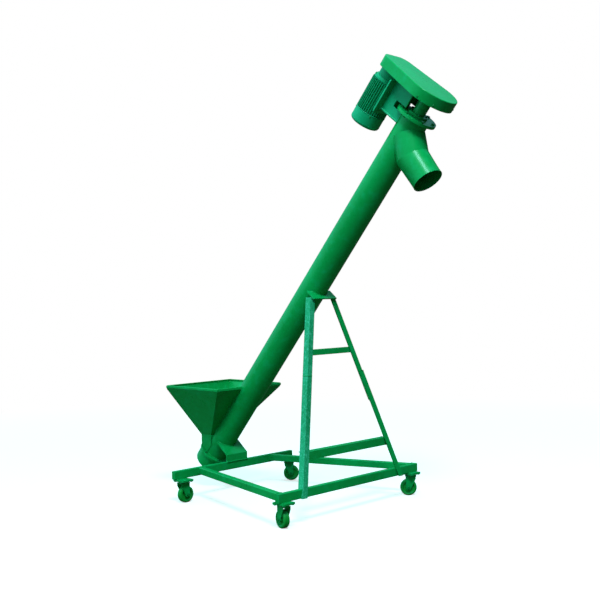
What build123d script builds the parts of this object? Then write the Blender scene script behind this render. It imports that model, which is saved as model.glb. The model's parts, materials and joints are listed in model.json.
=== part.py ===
from build123d import *
import os
from math import cos, radians, sin

os.makedirs("parts", exist_ok=True)

# Mobile screw conveyor (grain auger), millimetres. +Z is up, the floor is Z = 0, +X runs from the
# hopper end to the discharge head, and the machine is symmetric about Y = 0 apart from its
# terminal box. The near side is -Y. The origin lies under the middle of the overall length.

# ---------------------------------------------------------------- driving dimensions
front_x = -656.2            # outer (+X) face of the front cross beam
base_length = 960.0         # front beam face to rear beam face
front_half_width = 510.0
rear_half_width = 610.0
beam = 50.0                 # height of the cross beams
beam_depth = 30.0
beam_top = 190.0
wall = 3.0                  # sheet and hollow-section wall
rail = 40.0                 # square section of the side rails
rail_front_y = 305.0
rail_rear_y = 580.0
cap = 4.0                   # end plates of the beams
beam_round = 5.0            # corner radius outside, and below inside
beam_round_in = 2.0

tube_angle = 50.0           # tilt of the screw tube
tube_r = 79.5
tube_wall = 4.0
tube_x = front_x + 31.0     # where the tube axis crosses Z = 500
tube_z = 500.0
tube_low = -360.0           # ends of the tube, measured along its axis from that crossing
tube_high = 2190.0

flange_t = 8.0
boot_flange_t = 14.0
boot_flange_r = 106.0
boot_r = 98.0
boot_low = -450.0
head_r = 115.0

shaft_r = 17.5
core_r = 24.0
flight_r = 70.0
flight_pitch = 150.0
flight_t = 4.0
flight_start = -320.0
flight_turns = 15
running_gap = 0.05

hopper_x = front_x - 112.0
hopper_length = 480.0
hopper_width = 556.0
hopper_top = 667.0
hopper_lip = 12.0
neck_back = front_x - 238.0
neck_front = front_x - 150.0
neck_half = 83.0
neck_top = 345.0
neck_depth = 200.0          # of the straight neck, before the tube and boot are cut out of it

spout_r = 85.0
spout_mid_r = 89.0
spout_angle = -54.0         # direction of the mouth, below horizontal
spout_upper_angle = -79.0
spout_mouth_u = 1965.0      # centre of the mouth, along and square to the tube axis
spout_mouth_n = -276.0
spout_collar = 45.0
spout_run = 165.0
spout_rise = 130.0

motor_n = 285.0             # motor axis, square to the tube axis
motor_r = 78.0
fin_r = 88.0
motor_low = 1965.0
frame_low = 2040.0
frame_high = 2235.0
motor_high = 2304.5          # end of the shield's nose, just short of the guard
nose_r = 68.0
motor_shaft_r = 12.0
shaft_height = 90.0

plate_t = 8.0
bracket_t = 6.0
bracket_y = 62.0
bracket_low = 2112.0
guard_low = 2305.0
guard_high = 2365.0
guard_r = 147.0
guard_corner = 60.0
guard_end = 342.0
guard_half = 105.0
belt_u = (2327.0, 2343.0)   # middles of the two belts
pulley_low = 2318.0
pulley_high = 2352.0
big_pitch_r = 120.0
small_pitch_r = 40.0
belt_depth = 8.0
belt_width = 12.0
groove_gap = 0.3

leg_foot = (front_x + base_length + 12.0, 440.0, 140.0)
leg_top = (front_x + 748.0, 106.0, 1218.0)
leg_size = 38.0
leg_t = 3.5
splice_low = 600.0
splice_high = 780.0
tie_upper_z = 905.0
tie_lower_z = 352.0

wheel_r = 50.0
wheel_w = 36.0
caster_trail = 14.0
caster_front_y = 460.0
caster_rear_y = 560.0
pad_t = 6.0
beam_bottom = beam_top - beam

# ---------------------------------------------------------------- frames of reference
tube_point = Vector(tube_x, 0, tube_z)
tube_dir = Vector(cos(radians(tube_angle)), 0, sin(radians(tube_angle)))
tube_up = Vector(-sin(radians(tube_angle)), 0, cos(radians(tube_angle)))


def on_tube(u, n=0.0, y=0.0):
    """Point at u along the tube axis, n above it, y across."""
    return tube_point + tube_dir * u + tube_up * n + Vector(0, y, 0)


def across(u, n=0.0):
    """Plane square to the tube axis: local x points up-back, local y towards the near side."""
    return Plane(origin=on_tube(u, n), x_dir=tube_up, z_dir=tube_dir)


def beside(y=0.0):
    """Plane in the machine's length: local x along the tube, local y square to it."""
    return Plane(origin=on_tube(0, 0, y), x_dir=tube_dir, z_dir=(0, -1, 0))


def finish(builder, name):
    """Label a finished piece and write its STEP file."""
    builder.part.label = name
    export_step(builder.part, f"parts/{name}.step")


def drum(u_low, u_high, radius, hole=0.0, n=0.0):
    """Round piece coaxial with the tube, or parallel to it at n."""
    with BuildPart() as piece:
        with BuildSketch(across(u_low, n)):
            Circle(radius)
            if hole:
                Circle(hole, mode=Mode.SUBTRACT)
        extrude(amount=u_high - u_low)
    return piece


# ---------------------------------------------------------------- base frame
def cross_beam(x_face, half_width, name):
    """Hollow beam across the machine, its +X face at x_face."""
    middle = Plane(origin=(x_face - beam_depth / 2, 0, beam_top - beam / 2), x_dir=(1, 0, 0), z_dir=(0, 1, 0))
    with BuildPart() as piece:
        with BuildSketch(middle):
            RectangleRounded(beam_depth, beam, beam_round)
            RectangleRounded(beam_depth - 2 * wall, beam - 2 * wall, beam_round_in, mode=Mode.SUBTRACT)
        extrude(amount=half_width - cap, both=True)
    finish(piece, name)


rear_face = front_x + base_length
cross_beam(front_x, front_half_width, "front_cross_beam")
cross_beam(rear_face, rear_half_width, "rear_cross_beam")

with BuildPart() as beam_end_caps:
    for x_face, half_width in ((front_x, front_half_width), (rear_face, rear_half_width)):
        for side in (-1, 1):
            outer = Plane(
                origin=(x_face - beam_depth / 2, side * half_width, beam_top - beam / 2),
                x_dir=(1, 0, 0),
                z_dir=(0, -side, 0),
            )
            with BuildSketch(outer):
                RectangleRounded(beam_depth, beam, beam_round)
            extrude(amount=cap)
finish(beam_end_caps, "beam_end_caps")


def side_rail(side, name):
    """Square hollow rail from the front beam out to the end of the rear beam."""
    start = Vector(front_x, side * rail_front_y, beam_top - rail / 2)
    end = Vector(rear_face - beam_depth, side * rail_rear_y, beam_top - rail / 2)
    run = (end - start).normalized()
    spare = 50.0            # run past both beams before the ends are cut to their faces
    section = Plane(origin=start - run * spare, x_dir=Vector(0, 0, 1), z_dir=run)
    with BuildPart() as piece:
        with BuildSketch(section):
            RectangleRounded(rail, rail, 4)
            RectangleRounded(rail - 2 * wall, rail - 2 * wall, 1.5, mode=Mode.SUBTRACT)
        extrude(amount=(end - start).length + 2 * spare)
        with BuildSketch(Plane.XY):
            with Locations(((start.X + end.X) / 2, 0)):
                Rectangle(end.X - start.X, 4 * rear_half_width)
        extrude(amount=beam_top + 10, mode=Mode.INTERSECT)
    finish(piece, name)


side_rail(-1, "side_rail_near")
side_rail(1, "side_rail_far")

# ---------------------------------------------------------------- casters
pad_size = (92.0, 88.0)

# Kingpin x and y, and the heading in degrees that each wheel trails in.
front_kingpin_x = front_x - beam_depth + pad_size[0] / 2
rear_kingpin_x = rear_face - beam_depth / 2
caster_spots = {
    "front_near": (front_kingpin_x, -caster_front_y, 85.0),
    "front_far": (front_kingpin_x, caster_front_y, 40.0),
    "rear_near": (rear_kingpin_x, -caster_rear_y, 165.0),
    "rear_far": (rear_kingpin_x, caster_rear_y, 222.0),
}
bolt_grid = (70.0, 66.0)
pad_round = 8.0
bolt_hole_r = 4.2           # tapped in the pads, so there are no nuts
bolt_shank_r = 4.0
bolt_head_r = 6.5
bolt_head_t = 5.0
plate_top = beam_bottom - pad_t
caster_plate_t = 5.0
race_r = 27.0
race_t = 7.0
race_low = plate_top - caster_plate_t - race_t
crown_top = race_low - 1
crown_t = 5.0
kingpin_r = 6.0
fork_gap = wheel_w + 5
fork_t = 4.0
axle_r = 5.0
fork_half = 33.0            # half length of the fork's crown
eye_r = 16.0                # rounded end of each fork leg, and the hub's end face
hub_w = fork_gap - 1
hub_r = 18.0
web_half = 9.0              # half thickness of the wheel's web
web_r = 34.0
tread_in_r = 36.0           # inner edge of the tread's side faces

with BuildPart() as caster_pads:
    for x, y, _ in caster_spots.values():
        with BuildSketch(Plane.XY.offset(plate_top)):
            with Locations((x, y)):
                RectangleRounded(*pad_size, pad_round)
                with GridLocations(*bolt_grid, 2, 2):
                    Circle(bolt_hole_r, mode=Mode.SUBTRACT)
        extrude(amount=pad_t)
finish(caster_pads, "caster_pads")

with BuildPart() as caster_bolts:
    for x, y, _ in caster_spots.values():
        bolt_low = plate_top - caster_plate_t
        with BuildSketch(Plane.XY.offset(bolt_low - bolt_head_t)):
            with Locations((x, y)):
                with GridLocations(*bolt_grid, 2, 2):
                    RegularPolygon(bolt_head_r, 6)
        extrude(amount=bolt_head_t)
        with BuildSketch(Plane.XY.offset(bolt_low)):
            with Locations((x, y)):
                with GridLocations(*bolt_grid, 2, 2):
                    Circle(bolt_shank_r)
        extrude(amount=caster_plate_t + pad_t - 0.5)
finish(caster_bolts, "caster_bolts")


def caster(spot, x, y, heading):
    """Swivel caster: fixed plate with race and kingpin, turning fork, axle and wheel."""
    ahead = Vector(cos(radians(heading)), sin(radians(heading)), 0)
    turned = Plane(origin=(x, y, 0), x_dir=ahead, z_dir=(0, 0, 1))
    sideways = turned.y_dir
    hub = turned.from_local_coords((caster_trail, 0, wheel_r))
    with BuildPart() as plate:
        with BuildSketch(Plane.XY.offset(plate_top)):
            with Locations((x, y)):
                RectangleRounded(*pad_size, pad_round)
                with GridLocations(*bolt_grid, 2, 2):
                    Circle(bolt_hole_r, mode=Mode.SUBTRACT)
        extrude(amount=-caster_plate_t)
        with BuildSketch(turned.offset(plate_top - caster_plate_t)):
            Circle(race_r)
        extrude(amount=-race_t, taper=8)
        with BuildSketch(turned.offset(race_low)):
            Circle(kingpin_r)
        extrude(amount=-(crown_t + 3))
        with BuildSketch(turned.offset(crown_top - crown_t - 2)):
            Circle(9)
        extrude(amount=-4)
    finish(plate, f"caster_{spot}_plate")

    leg_high = crown_top - crown_t
    with BuildPart() as fork:
        with BuildSketch(turned.offset(crown_top)):
            RectangleRounded(2 * fork_half, fork_gap + 2 * fork_t, 4)
            Circle(kingpin_r + running_gap, mode=Mode.SUBTRACT)
        extrude(amount=-crown_t)
        for side in (-1, 1):
            inner = Plane(
                origin=turned.from_local_coords((0, side * fork_gap / 2, 0)),
                x_dir=ahead,
                z_dir=-sideways,
            )
            with BuildSketch(inner):
                with BuildLine():
                    Polyline(
                        (-fork_half + 4, leg_high + 1),
                        (-fork_half + 4, leg_high - 14),
                        (caster_trail - eye_r, wheel_r),
                        (caster_trail + eye_r, wheel_r),
                        (fork_half - 4, leg_high - 14),
                        (fork_half - 4, leg_high + 1),
                        close=True,
                    )
                make_face()
                with Locations((caster_trail, wheel_r)):
                    Circle(eye_r)
                    Circle(axle_r, mode=Mode.SUBTRACT)
            extrude(amount=-side * fork_t)
    finish(fork, f"caster_{spot}_fork")

    axle_plane = Plane(origin=hub, x_dir=ahead, z_dir=sideways)
    head = fork_gap / 2 + fork_t
    with BuildPart() as axle:
        with BuildSketch(axle_plane):
            Circle(axle_r)
        extrude(amount=head, both=True)
        for side in (-1, 1):
            with BuildSketch(axle_plane.offset(side * head)):
                RegularPolygon(8.5, 6)
            extrude(amount=side * 6)
    finish(axle, f"caster_{spot}_axle")

    rim_round = 9.0
    rim_flat = wheel_w - 2 * rim_round
    with BuildPart() as wheel:
        with BuildSketch(Plane(origin=hub, x_dir=sideways, z_dir=ahead)):
            with BuildLine():
                Polyline(
                    (-hub_w / 2, axle_r + running_gap),
                    (-hub_w / 2, eye_r),
                    (-web_half, hub_r),
                    (-web_half, web_r),
                    (-wheel_w / 2, tread_in_r),
                    (-wheel_w / 2, wheel_r - rim_round),
                )
                RadiusArc((-wheel_w / 2, wheel_r - rim_round), (-rim_flat / 2, wheel_r), rim_round)
                Line((-rim_flat / 2, wheel_r), (rim_flat / 2, wheel_r))
                RadiusArc((rim_flat / 2, wheel_r), (wheel_w / 2, wheel_r - rim_round), rim_round)
                Polyline(
                    (wheel_w / 2, wheel_r - rim_round),
                    (wheel_w / 2, tread_in_r),
                    (web_half, web_r),
                    (web_half, hub_r),
                    (hub_w / 2, eye_r),
                    (hub_w / 2, axle_r + running_gap),
                    (-hub_w / 2, axle_r + running_gap),
                )
            make_face()
        revolve(axis=Axis(hub, sideways))
    finish(wheel, f"caster_{spot}_wheel")


for spot, (x, y, heading) in caster_spots.items():
    caster(spot, x, y, heading)

# ---------------------------------------------------------------- rear A-frame

def leg_corner(z, side):
    """Outer corner of a leg at height z: the legs lean in and forward together."""
    share = (z - leg_foot[2]) / (leg_top[2] - leg_foot[2])
    x = leg_foot[0] + share * (leg_top[0] - leg_foot[0])
    y = leg_foot[1] + share * (leg_top[1] - leg_foot[1])
    return Vector(x, side * y, z)


def leg(side, z_low, z_high, grow, name):
    """Angle section between two heights, its corner outwards, grown outwards by grow."""
    low = leg_corner(z_low, side)
    lean = leg_corner(z_high, side) - low
    with BuildPart() as piece:
        with BuildSketch(Plane.XY.offset(z_low)):
            with BuildLine():
                corner_x = low.X + grow
                corner_y = low.Y + side * grow
                Polyline(
                    (corner_x, corner_y),
                    (corner_x - leg_size, corner_y),
                    (corner_x - leg_size, corner_y - side * leg_t),
                    (corner_x - leg_t, corner_y - side * leg_t),
                    (corner_x - leg_t, corner_y - side * leg_size),
                    (corner_x, corner_y - side * leg_size),
                    close=True,
                )
            make_face()
        extrude(amount=lean.length, dir=lean.normalized())
        with BuildSketch(Plane.XY.offset(beam_bottom - 1)):
            with Locations((rear_face - beam_depth / 2, 0)):
                Rectangle(beam_depth + 0.4, 3 * rear_half_width)
        extrude(amount=beam + 1.2, mode=Mode.SUBTRACT)
    finish(piece, name)


for side, place in ((-1, "near"), (1, "far")):
    leg(side, leg_foot[2], splice_high, leg_t + 0.2, f"leg_lower_{place}")
    leg(side, splice_low, leg_top[2], 0.0, f"leg_upper_{place}")


def tie(z, size, name):
    """Angle between the legs at height z, one leaf facing the rear, the other on top."""
    corner = leg_corner(z, 1)
    half = corner.Y - leg_t - 2 - size * 0.16
    back = corner.X - leg_t - 1 - size * 0.12
    with BuildPart() as piece:
        with BuildSketch(Plane(origin=(back, 0, z), x_dir=(1, 0, 0), z_dir=(0, -1, 0))):
            with BuildLine():
                Polyline(
                    (0, size / 2),
                    (0, -size / 2),
                    (-leg_t, -size / 2),
                    (-leg_t, size / 2 - leg_t),
                    (-size, size / 2 - leg_t),
                    (-size, size / 2),
                    close=True,
                )
            make_face()
        extrude(amount=half, both=True)
    finish(piece, name)


tie(tie_upper_z, 32.0, "leg_tie_upper")
tie(tie_lower_z, 45.0, "leg_tie_lower")

# ---------------------------------------------------------------- saddles under the tube
saddle_half = 100.0
rear_saddle_u = 1011.5
rear_saddle_high = -38.0    # upper and lower edges, square to the tube axis
rear_saddle_low = -108.0
with BuildPart() as rear_saddle:
    with BuildSketch(across(rear_saddle_u)):
        with Locations(((rear_saddle_high + rear_saddle_low) / 2, 0)):
            Rectangle(rear_saddle_high - rear_saddle_low, 2 * saddle_half)
        Circle(tube_r, mode=Mode.SUBTRACT)
    extrude(amount=plate_t)
    ears = rear_saddle.edges().filter_by(Axis(tube_point, tube_dir)).sort_by(Axis(tube_point, tube_up))
    fillet(ears[-2:], 12)
finish(rear_saddle, "rear_saddle")

# Front saddle: a bent plate that stands on the front beam and turns square to the tube.
saddle_u = -222.0
saddle_bend = on_tube(saddle_u, -148.0)
saddle_tip_n = -32.0
front_saddle_half = 88.0
bend_drop = plate_t * (1 - sin(radians(tube_angle))) / cos(radians(tube_angle))
with BuildPart() as front_saddle:
    with BuildSketch(Plane(origin=(0, 0, 0), x_dir=(1, 0, 0), z_dir=(0, -1, 0))):
        with BuildLine():
            bend_x = saddle_bend.X
            bend_z = saddle_bend.Z
            tip = on_tube(saddle_u, saddle_tip_n)
            Polyline(
                (bend_x, beam_top),
                (bend_x, bend_z),
                (tip.X, tip.Z),
                (tip.X - plate_t * tube_dir.X, tip.Z - plate_t * tube_dir.Z),
                (bend_x - plate_t, bend_z - bend_drop),
                (bend_x - plate_t, beam_top),
                close=True,
            )
        make_face()
    extrude(amount=front_saddle_half, both=True)
    with BuildSketch(across(saddle_u - 60)):
        Circle(tube_r)
    extrude(amount=120, mode=Mode.SUBTRACT)
finish(front_saddle, "front_saddle")

# ---------------------------------------------------------------- discharge spout
mouth_dir = Vector(cos(radians(spout_angle)), 0, sin(radians(spout_angle)))
upper_dir = Vector(cos(radians(spout_upper_angle)), 0, sin(radians(spout_upper_angle)))
mouth = on_tube(spout_mouth_u, spout_mouth_n)
mitre = mouth - mouth_dir * spout_run
mitre_dir = (mouth_dir + upper_dir).normalized()
spout_root = mitre - upper_dir * spout_rise


def spout_body(inset):
    """Solid of the spout's two segments and its collar, inset from the outer surface."""
    with BuildPart() as body:
        with BuildSketch(Plane(origin=spout_root, x_dir=(0, 1, 0), z_dir=upper_dir)):
            Circle(spout_mid_r - inset)
        with BuildSketch(Plane(origin=mitre, x_dir=(0, 1, 0), z_dir=mitre_dir)):
            Ellipse(spout_mid_r - inset, (spout_mid_r - inset) / mitre_dir.dot(upper_dir))
        loft(ruled=True)
        with BuildSketch(Plane(origin=mitre, x_dir=(0, 1, 0), z_dir=mitre_dir)):
            Ellipse(spout_mid_r - inset, (spout_mid_r - inset) / mitre_dir.dot(upper_dir))
        with BuildSketch(Plane(origin=mouth - mouth_dir * spout_collar, x_dir=(0, 1, 0), z_dir=mouth_dir)):
            Circle(spout_r - inset)
        loft(ruled=True)
        with BuildSketch(Plane(origin=mouth - mouth_dir * spout_collar, x_dir=(0, 1, 0), z_dir=mouth_dir)):
            Circle(spout_r - inset)
        extrude(amount=spout_collar + (wall if inset else 0))
    return body.part


spout_inner = spout_body(wall)
casing_space = drum(tube_low - 20, tube_high + 20, tube_r).part
with BuildPart() as discharge_spout:
    add(spout_body(0))
    add(spout_inner, mode=Mode.SUBTRACT)
    add(casing_space, mode=Mode.SUBTRACT)
    lower_half = discharge_spout.solids().sort_by(Axis.Z)[0]
    add(lower_half, mode=Mode.INTERSECT)
finish(discharge_spout, "discharge_spout")

# ---------------------------------------------------------------- screw tube and hopper
window_low = -325.0
window_high = -20.0
window_half = 52.0
with BuildPart() as tube_casing:
    with BuildSketch(across(tube_low)):
        Circle(tube_r)
        Circle(tube_r - tube_wall, mode=Mode.SUBTRACT)
    extrude(amount=tube_high - tube_low)
    add(spout_inner, mode=Mode.SUBTRACT)
    window = Plane(origin=on_tube((window_low + window_high) / 2, 25), x_dir=tube_dir, z_dir=tube_up)
    with BuildSketch(window):
        RectangleRounded(window_high - window_low, 2 * window_half, 12)
    extrude(amount=80, mode=Mode.SUBTRACT)
finish(tube_casing, "tube_casing")


lip_low = hopper_top - hopper_lip
rim_limits = (hopper_x - hopper_length / 2, hopper_x + hopper_length / 2, hopper_width / 2)
neck_limits = (neck_back, neck_front, neck_half)
weld_gap = 0.2              # between neighbouring sheets of the hopper


def corners(x_low, x_high, half, inset):
    """Corners of a level rectangle of sheet, anticlockwise from the rear near one."""
    return (
        (x_low + inset, -half + inset),
        (x_high - inset, -half + inset),
        (x_high - inset, half - inset),
        (x_low + inset, half - inset),
    )


def sheet_edge(limits, side):
    """Corners of one of the four sheets in a level section, mitred, the weld gap left out."""
    outer = corners(*limits, 0)
    inner = corners(*limits, wall)
    step = weld_gap if side in (0, 1) else -weld_gap
    shift = Vector(step, 0, 0) if side in (0, 2) else Vector(0, step, 0)
    end = (side + 1) % 4
    return (
        Vector(*outer[side], 0) + shift,
        Vector(*outer[end], 0) - shift,
        Vector(*inner[end], 0) - shift,
        Vector(*inner[side], 0) + shift,
    )


with BuildPart() as hopper:
    for side in range(4):
        with BuildSketch(Plane.XY.offset(lip_low - weld_gap)):
            with BuildLine():
                Polyline(*sheet_edge(rim_limits, side), close=True)
            make_face()
        with BuildSketch(Plane.XY.offset(neck_top + weld_gap)):
            with BuildLine():
                Polyline(*sheet_edge(neck_limits, side), close=True)
            make_face()
        loft(ruled=True)
    for side in (0, 2, 3):
        with BuildSketch(Plane.XY.offset(neck_top)):
            with BuildLine():
                Polyline(*sheet_edge(neck_limits, side), close=True)
            make_face()
        extrude(amount=-neck_depth)
    add(casing_space, mode=Mode.SUBTRACT)
    with BuildSketch(beside()):
        with Locations((tube_low + boot_flange_t, 0)):
            Rectangle(hopper_width, 2 * hopper_width, align=(Align.MAX, Align.CENTER))
    extrude(amount=hopper_width, both=True, mode=Mode.SUBTRACT)
    with BuildSketch(beside()):
        Rectangle(2 * hopper_length, hopper_width, align=(Align.CENTER, Align.MAX))
    extrude(amount=neck_half + 1, both=True, mode=Mode.SUBTRACT)
finish(hopper, "hopper")

with BuildPart() as hopper_rim:
    with BuildSketch(Plane.XY.offset(lip_low)):
        with Locations((hopper_x, 0)):
            Rectangle(hopper_length, hopper_width)
            Rectangle(hopper_length - 2 * wall, hopper_width - 2 * wall, mode=Mode.SUBTRACT)
    extrude(amount=hopper_lip)
    add(casing_space, mode=Mode.SUBTRACT)
finish(hopper_rim, "hopper_rim")

# ---------------------------------------------------------------- boot end
finish(drum(tube_low, tube_low + boot_flange_t, boot_flange_r, tube_r), "boot_flange")

boot_wall = 5.0
with BuildPart() as boot_housing:
    with BuildSketch(across(boot_low)):
        Circle(boot_r)
    extrude(amount=tube_low - boot_low)
    fillet(boot_housing.faces().sort_by(Axis(tube_point, tube_dir))[0].edges(), 18)
    with BuildSketch(across(boot_low + boot_wall)):
        Circle(tube_r - tube_wall)
    extrude(amount=tube_low - boot_low, mode=Mode.SUBTRACT)
finish(boot_housing, "boot_housing")

bearing_r = 36.0
lower_bearing_top = boot_low + boot_wall + 30
finish(drum(boot_low + boot_wall, lower_bearing_top, bearing_r, shaft_r + running_gap), "lower_bearing")

# ---------------------------------------------------------------- screw
shaft_low = boot_low + boot_wall + 3
shaft_high = 2356.0
core_low = lower_bearing_top + 5
core_high = tube_high - 45
with BuildPart() as screw_shaft:
    with BuildSketch(across(shaft_low)):
        Circle(shaft_r)
    extrude(amount=shaft_high - shaft_low)
    with BuildSketch(across(core_low)):
        Circle(core_r)
    extrude(amount=core_high - core_low)
finish(screw_shaft, "screw_shaft")

with BuildPart() as flight:
    blade = flight_r - core_r
    middle_r = (flight_r + core_r) / 2
    with BuildLine():
        turn = Helix(flight_pitch, flight_pitch * 0.998, middle_r)
    with BuildSketch(Plane(origin=turn @ 0, x_dir=(1, 0, 0), z_dir=turn % 0)):
        Rectangle(blade + 0.1, flight_t)
    sweep(path=turn, is_frenet=True)
one_flight = flight.part
with BuildPart() as screw_flights:
    for count in range(flight_turns):
        add(across(flight_start + count * flight_pitch).location * one_flight)
    with BuildSketch(across(flight_start - 100)):
        Circle(core_r)
    extrude(amount=flight_turns * flight_pitch + 200, mode=Mode.SUBTRACT)
finish(screw_flights, "screw_flights")

# ---------------------------------------------------------------- discharge head
bolt_circle = 97.0
boot_bolt_circle = 94.0
head_top = tube_high + flange_t
finish(drum(tube_high - flange_t, tube_high, head_r, tube_r), "head_flange")

with BuildPart() as head_cover:
    with BuildSketch(across(tube_high)):
        Circle(head_r)
        Circle(shaft_r + 1, mode=Mode.SUBTRACT)
    extrude(amount=flange_t)
finish(head_cover, "head_cover")

with BuildPart() as flange_bolts:
    for plane_u, reach in ((tube_high - flange_t, -1), (head_top, 1)):
        with BuildSketch(across(plane_u)):
            with PolarLocations(bolt_circle, 6, start_angle=30):
                RegularPolygon(9, 6)
        extrude(amount=reach * 8)
    with BuildSketch(across(tube_low + boot_flange_t)):
        with PolarLocations(boot_bolt_circle, 6, start_angle=30):
            RegularPolygon(6, 6)
    extrude(amount=6)
finish(flange_bolts, "flange_bolts")

bearing_top = 2285.0
with BuildPart() as upper_bearing:
    with BuildSketch(across(head_top)):
        Circle(58)
    extrude(amount=13)
    with BuildSketch(across(head_top)):
        Circle(bearing_r)
    extrude(amount=bearing_top - head_top)
    fillet(upper_bearing.faces().sort_by(Axis(tube_point, tube_dir))[-1].edges(), 3)
    with BuildSketch(across(head_top)):
        Circle(shaft_r + running_gap)
    extrude(amount=bearing_top - head_top, mode=Mode.SUBTRACT)
finish(upper_bearing, "upper_bearing")

# ---------------------------------------------------------------- motor and its bracket
base_top = motor_n - shaft_height
base_low_u = 2085.0
base_width = 220.0
notch_n = head_r + 7.0      # top of the notch that clears the head flange
bracket_foot_n = 30.0
bracket_nose_n = 46.0
bracket_tail_n = 100.0
with BuildPart() as motor_bracket_plates:
    for side in (-1, 1):
        with BuildSketch(beside(side * bracket_y)):
            with BuildLine():
                Polyline(
                    (bracket_low, base_top - plate_t),
                    (guard_low, base_top - plate_t),
                    (guard_low, bracket_tail_n),
                    (bearing_top, bracket_nose_n),
                    (head_top + 10, bracket_nose_n),
                    (head_top + 10, notch_n),
                    (tube_high - flange_t - 12, notch_n),
                    (tube_high - flange_t - 12, bracket_foot_n),
                    (bracket_low, bracket_foot_n),
                    close=True,
                )
            make_face()
        extrude(amount=bracket_t / 2, both=True)
    add(casing_space, mode=Mode.SUBTRACT)
finish(motor_bracket_plates, "motor_bracket_plates")

foot_y = 76.0
foot_u = 2158.0
foot_t = 14.0
foot_hole_r = 5.0
foot_bolts_u = (foot_u - 50, foot_u + 50)
base_u = (base_low_u + bearing_top) / 2
with BuildPart() as motor_base_plate:
    with BuildSketch(Plane(origin=on_tube(base_u, base_top), x_dir=tube_dir, z_dir=tube_up)):
        RectangleRounded(bearing_top - base_low_u, base_width, 8)
        for bolt_u in foot_bolts_u:
            for side in (-1, 1):
                with Locations((bolt_u - base_u, side * foot_y)):
                    Circle(foot_hole_r, mode=Mode.SUBTRACT)
    extrude(amount=-plate_t)
finish(motor_base_plate, "motor_base_plate")

with BuildPart() as motor_bolts:
    for bolt_u in foot_bolts_u:
        for side in (-1, 1):
            axis = Plane(origin=on_tube(bolt_u, base_top, side * foot_y), x_dir=tube_dir, z_dir=tube_up)
            with BuildSketch(axis.offset(-plate_t - 7)):
                RegularPolygon(8.5, 6)
            extrude(amount=7)
            with BuildSketch(axis.offset(-plate_t)):
                Circle(4.5)
            extrude(amount=plate_t + foot_t)
            with BuildSketch(axis.offset(foot_t)):
                RegularPolygon(8.5, 6)
            extrude(amount=6)
finish(motor_bolts, "motor_bolts")

stator_r = 46.0
fin_count = 40
with BuildPart() as motor_frame:
    with BuildSketch(across(frame_low, motor_n)):
        Circle(motor_r)
    extrude(amount=frame_high - frame_low)
    with BuildSketch(across(frame_low + 6, motor_n)):
        with PolarLocations((motor_r + fin_r) / 2 - 2, fin_count):
            Rectangle(fin_r - motor_r + 4, 2.6)
    extrude(amount=frame_high - frame_low - 12)
    for side in (-1, 1):
        foot = Plane(origin=on_tube(foot_u, base_top, side * foot_y), x_dir=tube_dir, z_dir=tube_up)
        with BuildSketch(foot):
            RectangleRounded(136, 36, 6)
            for bolt_u in foot_bolts_u:
                with Locations((bolt_u - foot_u, 0)):
                    Circle(foot_hole_r, mode=Mode.SUBTRACT)
        extrude(amount=foot_t)
        with BuildSketch(foot):
            with Locations((0, -side * 15)):
                Rectangle(60, 10)
        extrude(amount=60)
    with BuildSketch(across(frame_low - 5, motor_n)):
        Circle(stator_r)
    extrude(amount=frame_high - frame_low + 10, mode=Mode.SUBTRACT)
finish(motor_frame, "motor_frame")

with BuildPart() as motor_end_shield:
    with BuildSketch(across(frame_high, motor_n)):
        Circle(motor_r + 6)
    extrude(amount=10)
    with BuildSketch(across(frame_high + 10, motor_n)):
        Circle(motor_r)
    extrude(amount=9, taper=25)
    with BuildSketch(across(frame_high + 19, motor_n)):
        Circle(nose_r)
    extrude(amount=motor_high - frame_high - 19)
    with BuildSketch(across(frame_high, motor_n)):
        Circle(stator_r)
    extrude(amount=6, mode=Mode.SUBTRACT)
    with BuildSketch(across(frame_high, motor_n)):
        Circle(motor_shaft_r + running_gap)
    extrude(amount=motor_high - frame_high, mode=Mode.SUBTRACT)
finish(motor_end_shield, "motor_end_shield")

cowl_r = 87.0
cowl_t = 2.0
with BuildPart() as motor_fan_cowl:
    with BuildSketch(across(motor_low, motor_n)):
        Circle(cowl_r)
    extrude(amount=frame_low + 5 - motor_low)
    fillet(motor_fan_cowl.faces().sort_by(Axis(tube_point, tube_dir))[0].edges(), 16)
    offset(amount=-cowl_t, openings=motor_fan_cowl.faces().sort_by(Axis(tube_point, tube_dir))[-1])
    with BuildSketch(across(motor_low - 5, motor_n)):
        for ring_r, holes in ((16, 6), (29, 12), (42, 18), (55, 24)):
            with PolarLocations(ring_r, holes):
                Circle(4)
    extrude(amount=20, mode=Mode.SUBTRACT)
finish(motor_fan_cowl, "motor_fan_cowl")

rotor_low = motor_low + 16.0
rotor_core = 130.0
with BuildPart() as motor_rotor:
    with BuildSketch(across(rotor_low, motor_n)):
        Circle(motor_shaft_r)
    extrude(amount=shaft_high - rotor_low)
    with BuildSketch(across(frame_low + 40, motor_n)):
        Circle(stator_r - 0.5)
    extrude(amount=rotor_core)
finish(motor_rotor, "motor_rotor")

with BuildPart() as motor_fan:
    with BuildSketch(across(motor_low + 22, motor_n)):
        Circle(20)
    extrude(amount=40)
    with BuildSketch(across(motor_low + 58, motor_n)):
        Circle(72)
    extrude(amount=4)
    with BuildSketch(across(motor_low + 26, motor_n)):
        with PolarLocations(42, 7):
            Rectangle(50, 3)
    extrude(amount=34)
    with BuildSketch(across(motor_low + 20, motor_n)):
        Circle(motor_shaft_r)
    extrude(amount=50, mode=Mode.SUBTRACT)
finish(motor_fan, "motor_fan")

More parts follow.
